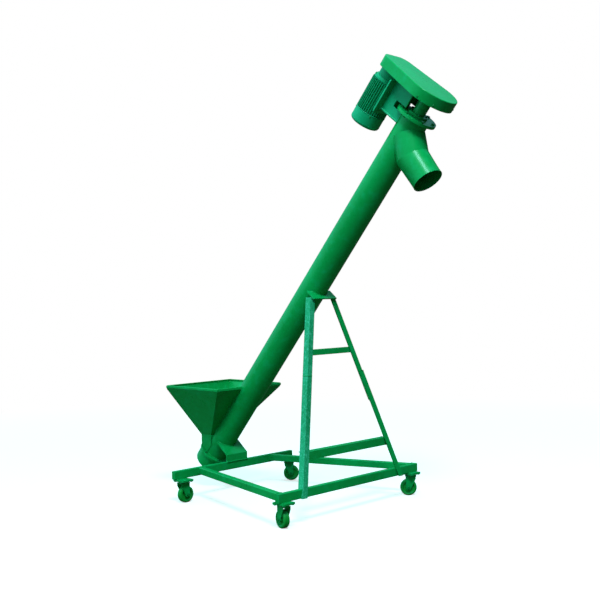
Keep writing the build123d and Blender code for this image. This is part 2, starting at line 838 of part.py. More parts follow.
box_u = 2150.0
box_depth = 46.0
box_start_y = 76.0
with BuildPart() as motor_terminal_box:
    with BuildSketch(Plane(origin=on_tube(box_u, motor_n, box_start_y), x_dir=tube_dir, z_dir=(0, 1, 0))):
        RectangleRounded(104, 88, 8)
    extrude(amount=box_depth)
    fillet(motor_terminal_box.faces().sort_by(Axis.Y)[-1].edges(), 4)
    add(drum(frame_low, frame_high, fin_r + 0.3, n=motor_n).part, mode=Mode.SUBTRACT)
    inside = Plane(origin=on_tube(box_u, motor_n, box_start_y + 14), x_dir=tube_dir, z_dir=(0, 1, 0))
    with BuildSketch(inside):
        RectangleRounded(96, 80, 5)
    extrude(amount=box_depth - 18, mode=Mode.SUBTRACT)
    gland_y = box_start_y + 28
    entry = Plane(origin=on_tube(box_u - 52, motor_n, gland_y), x_dir=tube_up, z_dir=-tube_dir)
    with BuildSketch(entry.offset(-10)):
        Circle(10)
    extrude(amount=20, mode=Mode.SUBTRACT)
finish(motor_terminal_box, "motor_terminal_box")

with BuildPart() as cable_gland:
    with BuildSketch(entry.offset(-8)):
        Circle(10)
    extrude(amount=8)
    with BuildSketch(entry):
        RegularPolygon(14, 6)
    extrude(amount=6)
    with BuildSketch(entry.offset(6)):
        Circle(12)
    extrude(amount=12, taper=8)
    with BuildSketch(entry.offset(-8)):
        Circle(5.5)
    extrude(amount=26, mode=Mode.SUBTRACT)
finish(cable_gland, "cable_gland")

# ---------------------------------------------------------------- belt drive
def pulley(n, pitch_r, bore_r, hub_r, name):
    """V-belt pulley with one straight-sided groove for each belt."""
    outer_r = pitch_r + belt_depth / 2 + 1.5
    with BuildPart() as piece:
        with BuildSketch(across(pulley_low, n)):
            Circle(outer_r)
        extrude(amount=pulley_high - pulley_low)
        for middle in belt_u:
            half = belt_width / 2 + groove_gap
            with BuildSketch(across(middle - half, n)):
                Circle(outer_r + 2)
                Circle(pitch_r - belt_depth / 2 - groove_gap, mode=Mode.SUBTRACT)
            extrude(amount=2 * half, mode=Mode.SUBTRACT)
        if hub_r:
            for face_u, depth in ((pulley_low, 11), (pulley_high, -11)):
                with BuildSketch(across(face_u, n)):
                    Circle(pitch_r - 18)
                    Circle(hub_r, mode=Mode.SUBTRACT)
                extrude(amount=depth, mode=Mode.SUBTRACT)
        with BuildSketch(across(pulley_low, n)):
            Circle(bore_r)
        extrude(amount=pulley_high - pulley_low, mode=Mode.SUBTRACT)
    finish(piece, name)


pulley(0, big_pitch_r, shaft_r, 34, "large_pulley")
pulley(motor_n, small_pitch_r, motor_shaft_r, 0, "small_pulley")

with BuildPart() as v_belts:
    for middle in belt_u:
        for reach, mode in ((belt_depth / 2, Mode.ADD), (-belt_depth / 2, Mode.SUBTRACT)):
            with BuildSketch(across(middle - belt_width / 2)):
                Circle(big_pitch_r + reach)
                with Locations((motor_n, 0)):
                    Circle(small_pitch_r + reach)
                make_hull()
            extrude(amount=belt_width, mode=mode)
finish(v_belts, "v_belts")

# ---------------------------------------------------------------- belt guard


def guard_outline(inset):
    """Teardrop outline of the guard, round at the screw and square-cornered at the motor."""
    Circle(guard_r - inset)
    corner_n = guard_end - guard_corner
    corner_y = guard_half - guard_corner
    with Locations((corner_n, corner_y), (corner_n, -corner_y)):
        Circle(guard_corner - inset)
    make_hull()


with BuildPart() as belt_guard:
    with BuildSketch(across(guard_low)):
        guard_outline(0)
    extrude(amount=guard_high - guard_low)
    fillet(belt_guard.faces().sort_by(Axis(tube_point, tube_dir))[-1].edges(), 4)
    with BuildSketch(across(guard_low)):
        guard_outline(wall)
    extrude(amount=guard_high - guard_low - wall, mode=Mode.SUBTRACT)
finish(belt_guard, "belt_guard")

with BuildPart() as guard_backplate:
    with BuildSketch(across(guard_low)):
        guard_outline(wall)
        Circle(bearing_r + 4, mode=Mode.SUBTRACT)
        with Locations((motor_n, 0)):
            Circle(30, mode=Mode.SUBTRACT)
    extrude(amount=wall)
finish(guard_backplate, "guard_backplate")
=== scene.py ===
import json
import math
import random

import bmesh
import bpy
from mathutils import Matrix, Vector


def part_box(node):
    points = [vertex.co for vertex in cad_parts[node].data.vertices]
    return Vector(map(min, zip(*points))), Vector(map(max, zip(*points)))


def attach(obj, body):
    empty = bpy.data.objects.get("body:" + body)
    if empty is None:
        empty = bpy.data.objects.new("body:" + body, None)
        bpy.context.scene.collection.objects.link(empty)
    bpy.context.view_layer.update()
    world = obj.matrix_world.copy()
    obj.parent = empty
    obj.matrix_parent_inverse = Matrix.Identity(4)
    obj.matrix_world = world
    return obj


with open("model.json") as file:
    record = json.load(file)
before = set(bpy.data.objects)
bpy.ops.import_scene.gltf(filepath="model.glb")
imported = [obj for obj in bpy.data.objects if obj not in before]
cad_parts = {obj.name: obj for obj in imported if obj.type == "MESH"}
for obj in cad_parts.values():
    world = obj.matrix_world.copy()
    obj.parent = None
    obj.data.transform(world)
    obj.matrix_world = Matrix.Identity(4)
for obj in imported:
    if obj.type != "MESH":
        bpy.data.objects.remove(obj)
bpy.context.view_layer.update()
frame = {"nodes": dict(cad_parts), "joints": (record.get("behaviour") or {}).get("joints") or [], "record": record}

# ---------------------------------------------------------------- places read from the frame
JOINTS = {joint["name"]: joint for joint in frame["joints"]}
MOUNTS = {mount["name"]: mount for mount in frame["record"]["mounts"]}
SLOT_OF = {part["node"]: part["material_slot"] for part in frame["record"]["subparts"]}
TUBE_DIR = Vector(JOINTS["screw_spin"]["axis"]).normalized()
TUBE_UP = Vector((-TUBE_DIR.z, 0, TUBE_DIR.x))
TUBE_POINT = Vector(JOINTS["screw_spin"]["pos_m"])
MOTOR_POINT = Vector(JOINTS["motor_spin"]["pos_m"])
SIDEWAYS = Vector((0, 1, 0))
UPWARD = Vector((0, 0, 1))
SPOTS = ("front_near", "front_far", "rear_near", "rear_far")


def along(point):
    """Distance of a point along the tube axis."""
    return (Vector(point) - TUBE_POINT).dot(TUBE_DIR)


def above(point):
    """Distance of a point from the tube axis, square to it and upwards."""
    return (Vector(point) - TUBE_POINT).dot(TUBE_UP)


def on_tube(u, n=0.0, y=0.0):
    """Point u along the tube axis, n above it and y across."""
    return TUBE_POINT + TUBE_DIR * u + TUBE_UP * n + SIDEWAYS * y


def span(node, measure):
    """Lowest and highest value of a measure over a CAD node's corners."""
    values = [measure(vertex.co) for vertex in frame["nodes"][node].data.vertices]
    return min(values), max(values)


TUBE_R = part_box("tube_casing")[1].y
MOTOR_N = above(MOTOR_POINT)


# ---------------------------------------------------------------- materials
class Graph:
    """A material's node tree, built by short calls."""

    def __init__(self, name):
        self.material = bpy.data.materials.new(name)
        self.material.use_nodes = True
        self.tree = self.material.node_tree
        self.tree.nodes.clear()
        self.out = self.tree.nodes.new("ShaderNodeOutputMaterial")

    def add(self, kind, settings=None, **inputs):
        node = self.tree.nodes.new("ShaderNode" + kind)
        for key, value in (settings or {}).items():
            setattr(node, key, value)
        for key, value in inputs.items():
            self.feed(node.inputs[key.replace("_", " ")], value)
        return node

    def feed(self, socket, value):
        if isinstance(value, bpy.types.NodeSocket):
            self.tree.links.new(value, socket)
        else:
            socket.default_value = value

    def noise(self, where, scale, detail=3.0, roughness=0.55, distortion=0.0):
        node = self.add("TexNoise", Vector=where, Scale=scale, Detail=detail, Roughness=roughness)
        node.inputs["Distortion"].default_value = distortion
        return node.outputs["Fac"]

    def ramp(self, value, low, high, to_low=0.0, to_high=1.0):
        node = self.add("MapRange", {"clamp": True}, Value=value)
        for key, number in (("From Min", low), ("From Max", high), ("To Min", to_low), ("To Max", to_high)):
            node.inputs[key].default_value = number
        return node.outputs["Result"]

    def math(self, operation, a, b=0.0):
        node = self.add("Math", {"operation": operation})
        self.feed(node.inputs[0], a)
        self.feed(node.inputs[1], b)
        return node.outputs[0]

    def mix(self, factor, a, b):
        node = self.add("Mix", {"data_type": "RGBA"})
        self.feed(node.inputs["Factor"], factor)
        self.feed(node.inputs[6], a)
        self.feed(node.inputs[7], b)
        return node.outputs[2]

    def edges(self, radius, low=0.995, high=0.90):
        """1 on edges and corners and 0 on flats, and the normal rounded over them."""
        bevel = self.add("Bevel", {"samples": 4}, Radius=radius)
        true = self.add("NewGeometry").outputs["Normal"]
        dot = self.add("VectorMath", {"operation": "DOT_PRODUCT"})
        self.feed(dot.inputs[0], bevel.outputs["Normal"])
        self.feed(dot.inputs[1], true)
        return self.ramp(dot.outputs["Value"], low, high), bevel.outputs["Normal"]

    def upward(self, low=0.45, high=0.95):
        """1 on faces that look up, 0 on walls and undersides."""
        normal = self.add("NewGeometry").outputs["Normal"]
        parts = self.add("SeparateXYZ", Vector=normal)
        return self.ramp(parts.outputs["Z"], low, high)


def rgb(r, g, b):
    return (r, g, b, 1.0)


def enamel(
    name, base, deep, pale, rough=0.30, gloss=0.20, edge_wear_and_glint=0.35, dust=0.12, peel=0.35, mottle=0.0,
    round_edge=0.002,
):
    """Sprayed gloss enamel: drifting tone, orange peel, runs, dust with a painted sky sheen on upward faces, and
    edges painted paler as rubbed wear and a painted highlight.
    """
    g = Graph(name)
    where = g.add("TexCoord").outputs["Object"]
    drift = g.ramp(g.noise(where, 2.6, 5), 0.35, 0.65)
    patch = g.noise(where, 24.0, 4)
    fine = g.noise(where, 190.0, 3)
    skin = g.noise(where, 520.0, 1.5)
    stretched = g.add("Mapping", Vector=where, Scale=(42.0, 42.0, 3.5)).outputs["Vector"]
    runs = g.noise(stretched, 1.0, 4, 0.6, 0.3)
    color = g.mix(drift, deep, base)
    color = g.mix(g.ramp(patch, 0.5, 0.8, 0.0, 0.35), color, pale)
    color = g.mix(g.ramp(runs, 0.56, 0.78, 0.0, 0.3), color, deep)
    if mottle:
        flecks = g.ramp(g.noise(where, 95.0, 5, 0.75), 0.46, 0.62, 0.0, mottle)
        streaks = g.noise(g.add("Mapping", Vector=where, Scale=(160.0, 160.0, 9.0)).outputs["Vector"], 1.0, 3)
        color = g.mix(g.math("MULTIPLY", flecks, g.ramp(streaks, 0.40, 0.60)), color, pale)
        color = g.mix(g.ramp(g.noise(where, 60.0, 4), 0.62, 0.72, 0.0, 0.5 * mottle), color, deep)
    edge, rounded = g.edges(round_edge)
    # Edges painted paler: partly rubbed wear, partly a painted highlight along the edges.
    rub_and_glint = g.math("MULTIPLY", edge, g.ramp(fine, 0.42, 0.62))
    color = g.mix(g.math("MULTIPLY", rub_and_glint, edge_wear_and_glint), color, pale)
    # Upward faces mixed towards a teal tone: partly settled dust, partly a painted sky sheen.
    dust_and_sky_sheen = g.math("MULTIPLY", g.upward(), g.ramp(g.noise(where, 11.0, 6, 0.65), 0.42, 0.72))
    dust_and_sky_sheen = g.math("MULTIPLY", dust_and_sky_sheen, dust)
    color = g.mix(dust_and_sky_sheen, color, DUST_AND_SKY_SHEEN)
    roughness = g.ramp(patch, 0.3, 0.7, rough - 0.05, rough + 0.09)
    roughness = g.math("ADD", roughness, g.math("MULTIPLY", dust_and_sky_sheen, 0.5))
    waves = g.math("ADD", g.math("MULTIPLY", skin, peel), g.math("MULTIPLY", patch, 0.5))
    bump = g.add("Bump", Strength=0.22, Distance=0.0012, Height=waves, Normal=rounded)
    shader = g.add(
        "BsdfPrincipled",
        Base_Color=color,
        Roughness=roughness,
        Normal=bump.outputs["Normal"],
    )
    shader.inputs["Specular IOR Level"].default_value = gloss
    shader.inputs["Coat Weight"].default_value = 0.06
    shader.inputs["Coat Roughness"].default_value = 0.16
    g.tree.links.new(shader.outputs[0], g.out.inputs["Surface"])
    return g.material


def bare_metal(name, bright, dull, rough=0.3, metal=1.0, turned=0.0, rust=0.1):
    """Machined or grain-polished steel and cast iron with stains and fine tool marks."""
    g = Graph(name)
    where = g.add("TexCoord").outputs["Object"]
    patch = g.noise(where, 18.0, 5, 0.6)
    marks = g.noise(g.add("Mapping", Vector=where, Scale=(900.0, 60.0, 900.0)).outputs["Vector"], 1.0, 2)
    color = g.mix(g.ramp(patch, 0.35, 0.7), dull, bright)
    stain = g.math("MULTIPLY", g.ramp(g.noise(where, 46.0, 6, 0.7), 0.58, 0.72), rust)
    color = g.mix(stain, color, RUST)
    roughness = g.math("ADD", g.ramp(patch, 0.3, 0.7, rough, rough + 0.18), g.math("MULTIPLY", stain, 0.4))
    edge, rounded = g.edges(0.001)
    color = g.mix(g.math("MULTIPLY", edge, 0.5), color, bright)
    bump = g.add("Bump", Strength=0.15 + turned, Distance=0.0006, Height=marks, Normal=rounded)
    shader = g.add("BsdfPrincipled", Base_Color=color, Roughness=roughness, Normal=bump.outputs["Normal"])
    shader.inputs["Metallic"].default_value = metal
    g.tree.links.new(shader.outputs[0], g.out.inputs["Surface"])
    return g.material


def moulded(name, base, dusty, rough, grain):
    """Moulded plastic or belt rubber: fine grain, dull dust in patches, rubbed edges."""
    g = Graph(name)
    where = g.add("TexCoord").outputs["Object"]
    patch = g.noise(where, 30.0, 5)
    fine = g.noise(where, 700.0, 2)
    color = g.mix(g.ramp(patch, 0.45, 0.75, 0.0, 0.6), base, dusty)
    edge, rounded = g.edges(0.001)
    color = g.mix(g.math("MULTIPLY", edge, 0.3), color, dusty)
    bump = g.add("Bump", Strength=grain, Distance=0.0005, Height=fine, Normal=rounded)
    roughness = g.ramp(patch, 0.3, 0.7, rough - 0.08, rough + 0.1)
    shader = g.add("BsdfPrincipled", Base_Color=color, Roughness=roughness, Normal=bump.outputs["Normal"])
    g.tree.links.new(shader.outputs[0], g.out.inputs["Surface"])
    return g.material


# Teal tone for upward faces: partly dust, partly a painted sky sheen.
DUST_AND_SKY_SHEEN = rgb(0.04, 0.36, 0.33)
RUST = rgb(0.16, 0.07, 0.03)
GREEN = rgb(0.0012, 0.345, 0.080)
GREEN_DEEP = rgb(0.0008, 0.270, 0.054)
GREEN_PALE = rgb(0.012, 0.480, 0.210)
# Leg colours: a lighter, bluer copy of the frame green that paints the light on the lit legs, with pale flecks of
# mottled paint.
LEG_LIT = rgb(0.014, 0.340, 0.150)
LEG_LIT_DEEP = rgb(0.005, 0.230, 0.080)
LEG_LIT_PALE = rgb(0.150, 0.600, 0.420)

MATERIALS = {
    "frame_green": enamel("frame_enamel", GREEN, GREEN_DEEP, GREEN_PALE),
    # Leg enamel: the lighter copy of the green as painted light, with strongly paler edges as painted highlights.
    "leg_green": enamel("leg_enamel_lit", LEG_LIT, LEG_LIT_DEEP, LEG_LIT_PALE, rough=0.36, edge_wear_and_glint=0.8, mottle=0.65),
    "motor_green": enamel(
        "motor_enamel", rgb(0.006, 0.370, 0.165), rgb(0.004, 0.280, 0.115), GREEN_PALE,
        rough=0.36, peel=0.3, dust=0.3, edge_wear_and_glint=0.6, round_edge=0.0006,
    ),
    "wheel_green": enamel(
        "wheel_enamel", rgb(0.008, 0.330, 0.045), rgb(0.004, 0.230, 0.026), rgb(0.060, 0.400, 0.140),
        rough=0.45, edge_wear_and_glint=0.5, dust=0.4, peel=0.6,
    ),
    "painted_bolt": enamel(
        "bolt_enamel", rgb(0.002, 0.225, 0.055), rgb(0.001, 0.160, 0.035), rgb(0.120, 0.420, 0.240),
        rough=0.36, edge_wear_and_glint=0.8, round_edge=0.001,
    ),
    "bare_steel": bare_metal("turned_steel", rgb(0.62, 0.62, 0.60), rgb(0.40, 0.40, 0.39), 0.28, turned=0.2),
    "flight_steel": bare_metal("flight_steel", rgb(0.56, 0.55, 0.52), rgb(0.34, 0.32, 0.29), 0.32, rust=0.35),
    "cast_iron": bare_metal("cast_iron", rgb(0.24, 0.24, 0.24), rgb(0.11, 0.11, 0.11), 0.48, 0.8, rust=0.2),
    "belt_rubber": moulded("belt_rubber", rgb(0.022, 0.022, 0.022), rgb(0.09, 0.09, 0.08), 0.78, 0.5),
    "black_plastic": moulded("black_plastic", rgb(0.022, 0.023, 0.024), rgb(0.08, 0.085, 0.08), 0.5, 0.25),
}

for node, body_object in frame["nodes"].items():
    material = MATERIALS[SLOT_OF[node]]
    if body_object.material_slots:
        for material_slot in body_object.material_slots:
            material_slot.material = material
    else:
        body_object.data.materials.append(material)


# ---------------------------------------------------------------- mesh helpers
def add_piece(name, bm, body, slot, smooth=True):
    """Turn a bmesh into a finished piece that rides on a body."""
    bmesh.ops.recalc_face_normals(bm, faces=bm.faces)
    mesh = bpy.data.meshes.new(name)
    bm.to_mesh(mesh)
    bm.free()
    for polygon in mesh.polygons:
        polygon.use_smooth = smooth
    mesh.materials.append(MATERIALS[slot])
    piece = bpy.data.objects.new(name, mesh)
    bpy.context.scene.collection.objects.link(piece)
    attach(piece, body)
    return piece


def resample(points, step, closed):
    """Evenly spaced points along a path."""
    points = [Vector(point) for point in points]
    if closed:
        points.append(points[0])
    spans = [(b - a).length for a, b in zip(points, points[1:])]
    total = sum(spans)
    count = max(3, round(total / step))
    wanted = [total * k / count for k in range(count if closed else count + 1)]
    result = []
    index = 0
    before = 0.0
    for distance in wanted:
        while index < len(spans) - 1 and before + spans[index] < distance:
            before += spans[index]
            index += 1
        share = (distance - before) / spans[index] if spans[index] else 0.0
        result.append(points[index].lerp(points[index + 1], min(1.0, share)))
    return result


def circle(centre, first, second, radius, count):
    """Points on a circle in the plane of two directions."""
    turns = [2 * math.pi * k / count for k in range(count)]
    return [centre + (first * math.cos(a) + second * math.sin(a)) * radius for a in turns]


def ring_at(bm, centre, first, second, radius, sides):
    """Mesh corners of a regular ring."""
    return [bm.verts.new(point) for point in circle(centre, first, second, radius, sides)]


def join_rings(bm, low, high):
    """Faces between two rings with the same number of corners."""
    for side in range(len(low)):
        after = (side + 1) % len(low)
        bm.faces.new((low[side], low[after], high[after], high[side]))


def sweep(bm, path, radii, closed, sides=8):
    """Round skin along a path, its section carried without twist."""
    count = len(path)
    tangents = []
    for k in range(count):
        after = path[(k + 1) % count] if closed or k < count - 1 else path[k]
        before = path[k - 1] if closed or k > 0 else path[k]
        tangents.append((after - before).normalized())
    normal = tangents[0].orthogonal().normalized()
    rings = []
    for point, tangent, radius in zip(path, tangents, radii):
        normal = (normal - tangent * normal.dot(tangent)).normalized()
        rings.append(ring_at(bm, point, normal, tangent.cross(normal), radius, sides))
    pairs = list(zip(rings, rings[1:]))
    if closed:
        last, first = rings[-1], rings[0]
        shift = min(range(sides), key=lambda k: (first[k].co - last[0].co).length)
        pairs.append((last, first[shift:] + first[:shift]))
    for low, high in pairs:
        join_rings(bm, low, high)
    if not closed:
        for ring in (rings[0], rings[-1]):
            tip = bm.verts.new(sum((vertex.co for vertex in ring), Vector()) / sides)
            for side in range(sides):
                bm.faces.new((ring[side], ring[(side + 1) % sides], tip))


RIPPLE = 0.0042             # pitch of the ripples in a weld bead
chance = random.Random(11)


def bead(bm, points, radius, closed=False):
    """Rippled weld bead along a path."""
    path = resample(points, RIPPLE / 3, closed)
    swell = [0.86, 1.06, 1.0]
    radii = [radius * swell[k % 3] * chance.uniform(0.94, 1.06) for k in range(len(path))]
    if not closed:
        radii[0] = radii[-1] = radius * 0.5
    sweep(bm, path, radii, closed)


def lathe(bm, origin, axis, profile, sides=24):
    """Turn a profile of (distance along the axis, radius) pairs about the axis, ends closed."""
    axis = Vector(axis).normalized()
    first = axis.orthogonal().normalized()
    second = axis.cross(first)
    rings = []
    for height, radius in profile:
        rings.append(ring_at(bm, Vector(origin) + axis * height, first, second, radius, sides))
    for low, high in zip(rings, rings[1:]):
        join_rings(bm, low, high)
    bm.faces.new(rings[0])
    bm.faces.new(rings[-1])


def chains(edges):
    """Join mesh edges into ordered paths, each with a flag that says whether it closes."""
    links = {}
    for edge in edges:
        a, b = edge.verts
        links.setdefault(a, []).append(b)
        links.setdefault(b, []).append(a)
    left = {frozenset(edge.verts) for edge in edges}
    found = []
    starts = sorted(links, key=lambda vertex: (len(links[vertex]) == 2, tuple(vertex.co)))
    for start in starts:
        while any(frozenset((start, other)) in left for other in links[start]):
            walk = [start]
            here = start
            while True:
                onward = [other for other in links[here] if frozenset((here, other)) in left]
                if not onward:
                    break
                left.discard(frozenset((here, onward[0])))
                here = onward[0]
                walk.append(here)
            closed = walk[0] is walk[-1] and len(walk) > 3
            points = [vertex.co.copy() for vertex in walk]
            found.append((points[:-1] if closed else points, closed))
    return found


def path_length(points):
    """Length of an open path."""
    return sum((b - a).length for a, b in zip(points, points[1:]))


def tube_seams(node):
    """Edges of a node that lie on the screw tube's outer surface, as paths, longest first."""
    bm = bmesh.new()
    bm.from_mesh(frame["nodes"][node].data)
    bmesh.ops.remove_doubles(bm, verts=bm.verts, dist=0.00002)

    def touches(vertex):
        offset = vertex.co - TUBE_POINT
        return abs((offset - TUBE_DIR * offset.dot(TUBE_DIR)).length - TUBE_R) < 0.0003

    picked = []
    for edge in bm.edges:
        if all(touches(vertex) for vertex in edge.verts) and len(edge.link_faces) == 2:
            lying = [all(touches(vertex) for vertex in face.verts) for face in edge.link_faces]
            if lying[0] != lying[1]:
                picked.append(edge)
    result = [path for path in chains(picked) if path_length(path[0]) > 0.02]
    bm.free()
    return sorted(result, key=lambda path: -path_length(path[0]))


def corner_points(node, test):
    """Places of the node's mesh corners that pass a test."""
    return [vertex.co.copy() for vertex in frame["nodes"][node].data.vertices if test(vertex.co)]


# ---------------------------------------------------------------- welds
def weld(name, paths, radius):
    """One piece of weld beads along (points, closed) paths."""
    bm = bmesh.new()
    for points, closed in paths:
        bead(bm, points, radius, closed)
    add_piece("weld_" + name, bm, "frame", "frame_green")


for node, size in (
    ("front_saddle", 0.0042), ("rear_saddle", 0.0040), ("motor_bracket_plates", 0.0036), ("hopper", 0.0030),
):
    weld(node + "_to_tube", tube_seams(node), size)
FLANGE_BEAD = 0.0034
SPOUT_BEAD = 0.0042
for node, outermost in (("boot_flange", max), ("head_flange", min)):
    exposed = outermost(tube_seams(node), key=lambda path: along(path[0][0]))
    weld(node + "_to_tube", [exposed], FLANGE_BEAD)
weld("discharge_spout_to_tube", tube_seams("discharge_spout")[:1], SPOUT_BEAD)

RIM_LOW, RIM_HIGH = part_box("hopper_rim")
SLOPE_HIGH = 0.31           # height of the hopper's sloping walls
NECK_TOP = RIM_LOW.z - SLOPE_HIGH
sheet_top = corner_points("hopper", lambda co: abs(co.z - RIM_LOW.z) < 0.001)
sheet_low = corner_points("hopper", lambda co: abs(co.z - NECK_TOP) < 0.001)
neck_foot = corner_points("hopper", lambda co: co.z < NECK_TOP - 0.02)
CORNER_BEAD = 0.0021
hopper_lines = []
for sign_y in (-1, 1):
    for sign_x in (-1, 1):
        top = max(sheet_top, key=lambda co: co.x * sign_x + co.y * sign_y)
        low = max(sheet_low, key=lambda co: co.x * sign_x + co.y * sign_y)
        if sign_x < 0:
            foot = max(neck_foot, key=lambda co: -co.x + co.y * sign_y - 0.001 * co.z)
            hopper_lines.append(([low, foot], False))
        hopper_lines.append(([top.lerp(low, 0.02), low], False))
weld("hopper_corners", hopper_lines, CORNER_BEAD)


def level_loop(low, high, z, inset):
    """Corners of a level rectangle inside a box's outline."""
    x0, y0, x1, y1 = low.x + inset, low.y + inset, high.x - inset, high.y - inset
    return [Vector(place) for place in ((x0, y0, z), (x1, y0, z), (x1, y1, z), (x0, y1, z))]


def round_corners(points, radius, steps=5):
    """A closed path with its corners rounded."""
    result = []
    for before, corner, after in zip([points[-1]] + points[:-1], points, points[1:] + points[:1]):
        start = corner + (before - corner).normalized() * radius
        end = corner + (after - corner).normalized() * radius
        for k in range(steps + 1):
            share = k / steps
            result.append(start.lerp(corner, share).lerp(corner.lerp(end, share), share))
    return result


# The rim's folded lip: a rounded edge, open where the tube passes through.
LIP_R = 0.0036
LIP_CORNER = 0.006
LIP_STEP = 0.004
loop = resample(round_corners(level_loop(RIM_LOW, RIM_HIGH, RIM_HIGH.z, LIP_R), LIP_CORNER), LIP_STEP, True)


def clear_of_tube(point):
    """Whether a point lies outside the screw tube's outer surface."""
    offset = point - TUBE_POINT
    return (offset - TUBE_DIR * offset.dot(TUBE_DIR)).length > TUBE_R


first_blocked = next(k for k, point in enumerate(loop) if not clear_of_tube(point))
loop = loop[first_blocked:] + loop[:first_blocked]
lip_path = [point for point in loop if clear_of_tube(point)]
bm = bmesh.new()
sweep(bm, lip_path, [LIP_R] * len(lip_path), False, 10)
add_piece("hopper_lip", bm, "frame", "frame_green")


# Frame welds: fillets where rails, saddle, ties, pads and legs meet.
SADDLE_BEAD, RAIL_BEAD, TIE_BEAD = 0.0040, 0.0030, 0.0026
PAD_BEAD, BRACKET_BEAD, SPLICE_BEAD = 0.0028, 0.0034, 0.0022


def fillet_lines(name, lines, radius):
    """Open weld beads along a list of paths."""
    weld(name, [(points, False) for points in lines], radius)


saddle_low, saddle_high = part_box("front_saddle")
foot = corner_points("front_saddle", lambda co: co.z < saddle_low.z + 0.001)
foot_x = (min(co.x for co in foot), max(co.x for co in foot))
fillet_lines(
    "front_saddle_foot",
    [[Vector((x, saddle_low.y, saddle_low.z)), Vector((x, saddle_high.y, saddle_low.z))] for x in foot_x],
    SADDLE_BEAD,
)
RAIL_ROUND = 0.004
rail_welds = []
for side in ("near", "far"):
    low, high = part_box("side_rail_" + side)
    for x in (low.x, high.x):
        ends = corner_points("side_rail_" + side, lambda co: abs(co.x - x) < 0.0005)
        ys = (min(co.y for co in ends), max(co.y for co in ends))
        zs = (min(co.z for co in ends), max(co.z for co in ends))
        outline = ((ys[0], zs[0]), (ys[1], zs[0]), (ys[1], zs[1]), (ys[0], zs[1]))
        rail_welds.append((round_corners([Vector((x, y, z)) for y, z in outline], RAIL_ROUND), True))
weld("side_rails", rail_welds, RAIL_BEAD)
tie_welds = []
for node in ("leg_tie_upper", "leg_tie_lower"):
    low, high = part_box(node)
    for y in (low.y, high.y):
        tie_welds.append([Vector(p) for p in ((high.x, y, low.z), (high.x, y, high.z), (low.x, y, high.z))])
fillet_lines("leg_ties", tie_welds, TIE_BEAD)
PAD_EDGE = 0.002            # a beam face this near the pad's edge gets no weld
PAD_INSET = 0.01            # of each weld's ends from the pad's edges
pad_welds = []
for spot in SPOTS:
    plate_low, plate_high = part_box("caster_" + spot + "_plate")
    beam_low, beam_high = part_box("front_cross_beam" if spot.startswith("front") else "rear_cross_beam")
    for x in (beam_low.x, beam_high.x):
        if plate_low.x + PAD_EDGE < x < plate_high.x - PAD_EDGE:
            ends = (plate_low.y + PAD_INSET, plate_high.y - PAD_INSET)
            pad_welds.append([Vector((x, y, beam_low.z)) for y in ends])
fillet_lines("caster_pads", pad_welds, PAD_BEAD)
bracket_low, bracket_high = span("motor_bracket_plates", along)
base_under = span("motor_bracket_plates", above)[1]
bracket_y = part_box("motor_bracket_plates")[1].y
fillet_lines(
    "motor_bracket",
    [
        [on_tube(bracket_low, base_under, y), on_tube(bracket_high, base_under, y)]
        for y in (-bracket_y, bracket_y)
    ],
    BRACKET_BEAD,
)

# A folded edge along the foot of each bracket plate, from the tube outwards, in the lighter leg enamel as a
# painted highlight strip.
FOLD_R = 0.0058
FOLD_END = 0.214            # height of its far end above the tube axis
FOLD_STEP = 0.006
FOLD_PROUD = 0.001          # of its axis beyond the plate's outer face
fold_u = bracket_low + FOLD_R * 0.8
fold_y = bracket_y + FOLD_PROUD
fold_start = math.sqrt(TUBE_R ** 2 - fold_y ** 2)
bm = bmesh.new()
for side_y in (-fold_y, fold_y):
    ends = [on_tube(fold_u, n, side_y) for n in (fold_start, FOLD_END)]
    fold = resample(ends, FOLD_STEP, False)
    sweep(bm, fold, [FOLD_R] * len(fold), False, 12)
add_piece("motor_bracket_folds_highlight", bm, "frame", "leg_green")
splice_lines = []
for side in ("near", "far"):
    splice_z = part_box("leg_lower_" + side)[1].z
    tops = corner_points("leg_lower_" + side, lambda co: abs(co.z - splice_z) < 0.0005)
    corner = max(tops, key=lambda co: co.x + abs(co.y))
    back_end = min(tops, key=lambda co: co.x - 0.2 * abs(co.y))
    inner_end = min(tops, key=lambda co: abs(co.y) - 0.2 * co.x)
    splice_lines.append([back_end, corner, inner_end])
fillet_lines("leg_splices", splice_lines, SPLICE_BEAD)


# ---------------------------------------------------------------- fasteners and trim
def hex_head(bm, place, axis, radius, high):
    """Bolt head with a washer face and a chamfered crown."""
    lathe(bm, place, axis, ((0, radius * 0.95), (high * 0.12, radius * 0.95)), 24)
    lathe(bm, place, axis, ((high * 0.12, radius), (high * 0.85, radius), (high, radius * 0.86)), 6)


def pan_head(bm, place, axis, radius):
    """Domed screw head."""
    profile = [(0, radius)]
    for k in range(1, 6):
        angle = math.radians(90 * k / 5.5)
        profile.append((radius * 0.62 * math.sin(angle), radius * (0.25 + 0.75 * math.cos(angle))))
    profile.append((radius * 0.40, radius * 0.2))
    lathe(bm, place, axis, profile, 20)


def around(u, n, radius, count, start, arc=360):
    """Places on a circle or an arc about an axis parallel to the tube, with their outward directions."""
    for k in range(count):
        angle = math.radians(start + arc * k / count)
        out = TUBE_UP * math.cos(angle) + SIDEWAYS * math.sin(angle)
        yield on_tube(u, n) + out * radius, out


cowl_low, cowl_high = span("motor_fan_cowl", along)
cowl_n = span("motor_fan_cowl", above)
cowl_r = (cowl_n[1] - cowl_n[0]) / 2
HEAD_SINK = 0.0004          # screw heads start this far inside the sheet
bm = bmesh.new()
for place, out in around(cowl_high - 0.009, MOTOR_N, cowl_r - HEAD_SINK, 4, 45):
    pan_head(bm, place, out, 0.0048)
add_piece("cowl_screws", bm, "frame", "painted_bolt")

